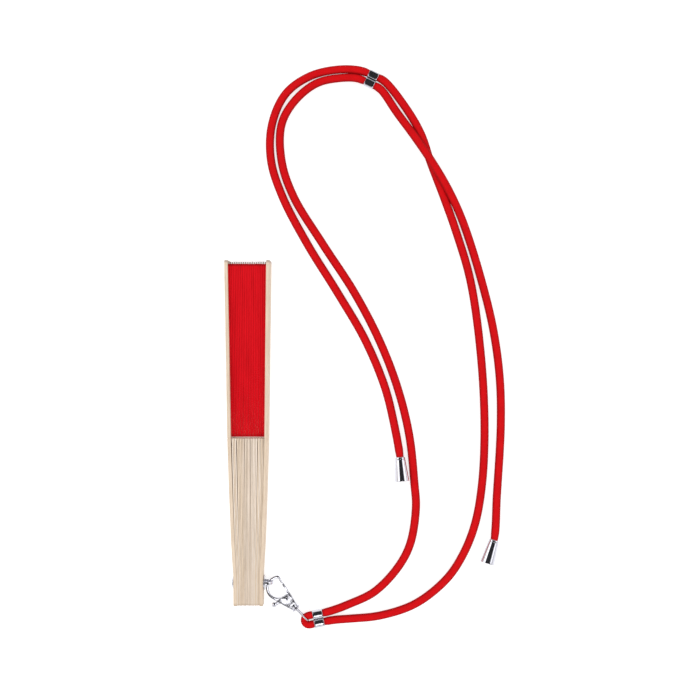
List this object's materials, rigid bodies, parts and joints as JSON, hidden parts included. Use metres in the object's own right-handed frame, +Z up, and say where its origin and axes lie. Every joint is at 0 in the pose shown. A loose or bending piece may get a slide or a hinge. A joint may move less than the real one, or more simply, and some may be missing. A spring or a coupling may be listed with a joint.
{
  "type": "folding hand fan",
  "caption": "Closed folding hand fan of pale wood sticks with a red pleated fabric leaf, its rivet loop clipped to a red cord neck lanyard with chrome fittings.",
  "frame": {"origin": "on the resting surface, under the centre of the closed fan's own box, without the lanyard", "axes": "+Y along the sticks from the rivet to the tips, +X across the stack towards the rivet loop and the lanyard, +Z up from the surface that the closed fan lies on"},
  "size_m": [0.1889, 0.3829, 0.0203],
  "materials": {
    "guard_wood": "natural, sanded",
    "rib_wood": "natural, sawn",
    "leaf_fabric": "plain weave, pleated",
    "cord_fabric": "smooth knitted tube",
    "chrome_metal": "polished"
  },
  "bodies": {
    "fan_base": {"guard_left": "guard_wood", "leaf_00": "leaf_fabric", "rivet_pin": "chrome_metal", "rivet_head": "chrome_metal", "washer_left": "chrome_metal", "washer_right": "chrome_metal", "rivet_loop": "chrome_metal"},
    "rib_01": {"rib_01": "rib_wood", "leaf_01": "leaf_fabric"},
    "rib_02": {"rib_02": "rib_wood", "leaf_02": "leaf_fabric"},
    "rib_03": {"rib_03": "rib_wood", "leaf_03": "leaf_fabric"},
    "rib_04": {"rib_04": "rib_wood", "leaf_04": "leaf_fabric"},
    "rib_05": {"rib_05": "rib_wood", "leaf_05": "leaf_fabric"},
    "rib_06": {"rib_06": "rib_wood", "leaf_06": "leaf_fabric"},
    "rib_07": {"rib_07": "rib_wood", "leaf_07": "leaf_fabric"},
    "rib_08": {"rib_08": "rib_wood", "leaf_08": "leaf_fabric"},
    "rib_09": {"rib_09": "rib_wood", "leaf_09": "leaf_fabric"},
    "rib_10": {"rib_10": "rib_wood", "leaf_10": "leaf_fabric"},
    "rib_11": {"rib_11": "rib_wood", "leaf_11": "leaf_fabric"},
    "rib_12": {"rib_12": "rib_wood", "leaf_12": "leaf_fabric"},
    "rib_13": {"rib_13": "rib_wood", "leaf_13": "leaf_fabric"},
    "rib_14": {"rib_14": "rib_wood", "leaf_14": "leaf_fabric"},
    "rib_15": {"rib_15": "rib_wood", "leaf_15": "leaf_fabric"},
    "rib_16": {"rib_16": "rib_wood", "leaf_16": "leaf_fabric"},
    "rib_17": {"rib_17": "rib_wood", "leaf_17": "leaf_fabric"},
    "rib_18": {"rib_18": "rib_wood", "leaf_18": "leaf_fabric"},
    "rib_19": {"rib_19": "rib_wood", "leaf_19": "leaf_fabric"},
    "rib_20": {"rib_20": "rib_wood", "leaf_20": "leaf_fabric"},
    "guard_right": {"guard_right": "guard_wood"},
    "clasp": {"clasp_body": "chrome_metal", "gate_pin": "chrome_metal", "gate_spring": "chrome_metal"},
    "gate": {"clasp_gate": "chrome_metal"},
    "lanyard": {"swivel_eye": "chrome_metal", "strand_a": "cord_fabric", "strand_b": "cord_fabric", "end_cap_a": "chrome_metal", "end_cap_b": "chrome_metal"},
    "lower_slider": {"lower_slider": "chrome_metal"},
    "upper_slider": {"upper_slider": "chrome_metal"}
  },
  "joints": [
    {"name": "fan_open", "type": "hinge", "parent": "fan_base", "child": "guard_right", "pos_m": [-0.00083, -0.10103, 0.0055], "axis": [1, 0, 0], "range_deg": [0, 170]},
    {"name": "rib_01_turn", "type": "hinge", "parent": "fan_base", "child": "rib_01", "pos_m": [-0.00083, -0.10103, 0.0055], "axis": [1, 0, 0], "range_deg": [0, 8.11]},
    {"name": "rib_02_turn", "type": "hinge", "parent": "fan_base", "child": "rib_02", "pos_m": [-0.00083, -0.10103, 0.0055], "axis": [1, 0, 0], "range_deg": [0, 16.2]},
    {"name": "rib_03_turn", "type": "hinge", "parent": "fan_base", "child": "rib_03", "pos_m": [-0.00083, -0.10103, 0.0055], "axis": [1, 0, 0], "range_deg": [0, 24.3]},
    {"name": "rib_04_turn", "type": "hinge", "parent": "fan_base", "child": "rib_04", "pos_m": [-0.00083, -0.10103, 0.0055], "axis": [1, 0, 0], "range_deg": [0, 32.39]},
    {"name": "rib_05_turn", "type": "hinge", "parent": "fan_base", "child": "rib_05", "pos_m": [-0.00083, -0.10103, 0.0055], "axis": [1, 0, 0], "range_deg": [0, 40.49]},
    {"name": "rib_06_turn", "type": "hinge", "parent": "fan_base", "child": "rib_06", "pos_m": [-0.00083, -0.10103, 0.0055], "axis": [1, 0, 0], "range_deg": [0, 48.58]},
    {"name": "rib_07_turn", "type": "hinge", "parent": "fan_base", "child": "rib_07", "pos_m": [-0.00083, -0.10103, 0.0055], "axis": [1, 0, 0], "range_deg": [0, 56.68]},
    {"name": "rib_08_turn", "type": "hinge", "parent": "fan_base", "child": "rib_08", "pos_m": [-0.00083, -0.10103, 0.0055], "axis": [1, 0, 0], "range_deg": [0, 64.77]},
    {"name": "rib_09_turn", "type": "hinge", "parent": "fan_base", "child": "rib_09", "pos_m": [-0.00083, -0.10103, 0.0055], "axis": [1, 0, 0], "range_deg": [0, 72.87]},
    {"name": "rib_10_turn", "type": "hinge", "parent": "fan_base", "child": "rib_10", "pos_m": [-0.00083, -0.10103, 0.0055], "axis": [1, 0, 0], "range_deg": [0, 80.96]},
    {"name": "rib_11_turn", "type": "hinge", "parent": "fan_base", "child": "rib_11", "pos_m": [-0.00083, -0.10103, 0.0055], "axis": [1, 0, 0], "range_deg": [0, 89.06]},
    {"name": "rib_12_turn", "type": "hinge", "parent": "fan_base", "child": "rib_12", "pos_m": [-0.00083, -0.10103, 0.0055], "axis": [1, 0, 0], "range_deg": [0, 97.15]},
    {"name": "rib_13_turn", "type": "hinge", "parent": "fan_base", "child": "rib_13", "pos_m": [-0.00083, -0.10103, 0.0055], "axis": [1, 0, 0], "range_deg": [0, 105.25]},
    {"name": "rib_14_turn", "type": "hinge", "parent": "fan_base", "child": "rib_14", "pos_m": [-0.00083, -0.10103, 0.0055], "axis": [1, 0, 0], "range_deg": [0, 113.34]},
    {"name": "rib_15_turn", "type": "hinge", "parent": "fan_base", "child": "rib_15", "pos_m": [-0.00083, -0.10103, 0.0055], "axis": [1, 0, 0], "range_deg": [0, 121.44]},
    {"name": "rib_16_turn", "type": "hinge", "parent": "fan_base", "child": "rib_16", "pos_m": [-0.00083, -0.10103, 0.0055], "axis": [1, 0, 0], "range_deg": [0, 129.53]},
    {"name": "rib_17_turn", "type": "hinge", "parent": "fan_base", "child": "rib_17", "pos_m": [-0.00083, -0.10103, 0.0055], "axis": [1, 0, 0], "range_deg": [0, 137.63]},
    {"name": "rib_18_turn", "type": "hinge", "parent": "fan_base", "child": "rib_18", "pos_m": [-0.00083, -0.10103, 0.0055], "axis": [1, 0, 0], "range_deg": [0, 145.72]},
    {"name": "rib_19_turn", "type": "hinge", "parent": "fan_base", "child": "rib_19", "pos_m": [-0.00083, -0.10103, 0.0055], "axis": [1, 0, 0], "range_deg": [0, 153.82]},
    {"name": "rib_20_turn", "type": "hinge", "parent": "fan_base", "child": "rib_20", "pos_m": [-0.00083, -0.10103, 0.0055], "axis": [1, 0, 0], "range_deg": [0, 161.91]},
    {"name": "clasp_swing", "type": "hinge", "parent": "fan_base", "child": "clasp", "pos_m": [0.01944, -0.10496, 0.0052], "axis": [0, 0, 1], "range_deg": [-26, 6]},
    {"name": "gate_open", "type": "hinge", "parent": "clasp", "child": "gate", "pos_m": [0.02494, -0.11272, 0.00452], "axis": [0.0512, -0.0512, 0.9974], "range_deg": [0, 25], "stiffness_Nm_per_rad": 0.02},
    {"name": "swivel_spin", "type": "hinge", "parent": "clasp", "child": "lanyard", "pos_m": [0.03037, -0.11843, 0.00395], "axis": [-0.7053, 0.7053, 0.0724], "continuous": true},
    {"name": "lower_slider_slide", "type": "slide", "parent": "lanyard", "child": "lower_slider", "axis": [0.9816, 0.1908, 0], "range_m": [0, 0.003]},
    {"name": "upper_slider_slide", "type": "slide", "parent": "lanyard", "child": "upper_slider", "axis": [0.8988, -0.4384, 0], "range_m": [-0.002, 0.002]}
  ],
  "couplings": [
    {"joint": "rib_01_turn", "follows": "fan_open", "ratio": 0.047619},
    {"joint": "rib_02_turn", "follows": "fan_open", "ratio": 0.095238},
    {"joint": "rib_03_turn", "follows": "fan_open", "ratio": 0.14286},
    {"joint": "rib_04_turn", "follows": "fan_open", "ratio": 0.19048},
    {"joint": "rib_05_turn", "follows": "fan_open", "ratio": 0.2381},
    {"joint": "rib_06_turn", "follows": "fan_open", "ratio": 0.28571},
    {"joint": "rib_07_turn", "follows": "fan_open", "ratio": 0.33333},
    {"joint": "rib_08_turn", "follows": "fan_open", "ratio": 0.38095},
    {"joint": "rib_09_turn", "follows": "fan_open", "ratio": 0.42857},
    {"joint": "rib_10_turn", "follows": "fan_open", "ratio": 0.47619},
    {"joint": "rib_11_turn", "follows": "fan_open", "ratio": 0.52381},
    {"joint": "rib_12_turn", "follows": "fan_open", "ratio": 0.57143},
    {"joint": "rib_13_turn", "follows": "fan_open", "ratio": 0.61905},
    {"joint": "rib_14_turn", "follows": "fan_open", "ratio": 0.66667},
    {"joint": "rib_15_turn", "follows": "fan_open", "ratio": 0.71429},
    {"joint": "rib_16_turn", "follows": "fan_open", "ratio": 0.76191},
    {"joint": "rib_17_turn", "follows": "fan_open", "ratio": 0.80952},
    {"joint": "rib_18_turn", "follows": "fan_open", "ratio": 0.85714},
    {"joint": "rib_19_turn", "follows": "fan_open", "ratio": 0.90476},
    {"joint": "rib_20_turn", "follows": "fan_open", "ratio": 0.95238}
  ]
}
